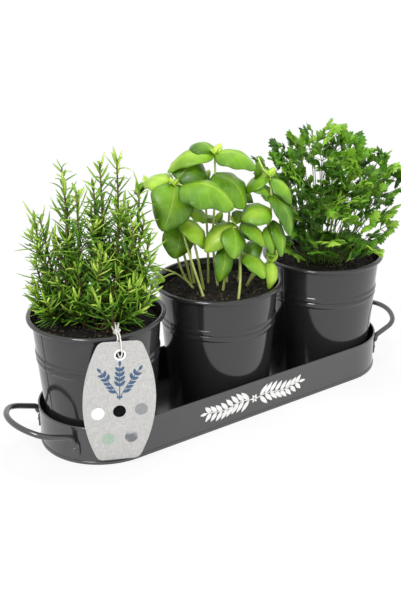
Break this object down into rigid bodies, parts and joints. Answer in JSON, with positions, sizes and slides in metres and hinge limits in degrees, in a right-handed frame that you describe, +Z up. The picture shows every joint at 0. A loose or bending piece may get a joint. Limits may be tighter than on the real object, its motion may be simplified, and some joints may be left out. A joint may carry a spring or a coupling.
{
  "type": "herb planter",
  "caption": "Long steel tray with rod handles holding round steel pots of soil, each with a different kitchen herb, with a card tag hung on a string over one rim.",
  "frame": {"origin": "on the ground under the middle of the tray, on the flat underside", "axes": "+X along the row of pots towards the right one as the front is seen, +Y from the front towards the back, +Z up"},
  "size_m": [0.3928, 0.1264, 0.2378],
  "materials": {
    "charcoal_steel": "charcoal paint, half gloss",
    "charcoal_steel_underside": "charcoal paint, half gloss",
    "potting_soil": "moist crumbly potting soil",
    "rosemary": "narrow leathery leaves",
    "basil": "smooth glossy leaves",
    "parsley": "thin matt leaves",
    "tag_card": "linen-textured card",
    "tag_eyelet": "smooth white",
    "cotton_string": "twisted cotton"
  },
  "bodies": {
    "tray": {"tray_wall": "charcoal_steel", "tray_floor": "charcoal_steel_underside", "handle_left": "charcoal_steel", "handle_right": "charcoal_steel", "handle_rivets_left": "charcoal_steel", "handle_rivets_right": "charcoal_steel"},
    "pot_left": {"pot_left_wall": "charcoal_steel", "pot_left_base": "charcoal_steel_underside", "pot_left_soil": "potting_soil", "rosemary_plant": "rosemary", "tag_string_upper": "cotton_string", "tag_string_knot": "cotton_string", "tag_string_anchor": "cotton_string"},
    "pot_middle": {"pot_middle_wall": "charcoal_steel", "pot_middle_base": "charcoal_steel_underside", "pot_middle_soil": "potting_soil", "basil_plant": "basil"},
    "pot_right": {"pot_right_wall": "charcoal_steel", "pot_right_base": "charcoal_steel_underside", "pot_right_soil": "potting_soil", "parsley_plant": "parsley"},
    "tag": {"tag_card": "tag_card", "tag_eyelet": "tag_eyelet", "tag_string_lower": "cotton_string"}
  },
  "joints": [
    {"name": "pot_left_lift", "type": "slide", "parent": "tray", "child": "pot_left", "axis": [0, 0, 1], "range_m": [0, 0.12]},
    {"name": "pot_middle_lift", "type": "slide", "parent": "tray", "child": "pot_middle", "axis": [0, 0, 1], "range_m": [0, 0.12]},
    {"name": "pot_right_lift", "type": "slide", "parent": "tray", "child": "pot_right", "axis": [0, 0, 1], "range_m": [0, 0.12]},
    {"name": "tag_swing", "type": "hinge", "parent": "pot_left", "child": "tag", "pos_m": [-0.12752, -0.05513, 0.1064], "axis": [-0.9336, 0.3584, 0], "range_deg": [0, 80]}
  ]
}
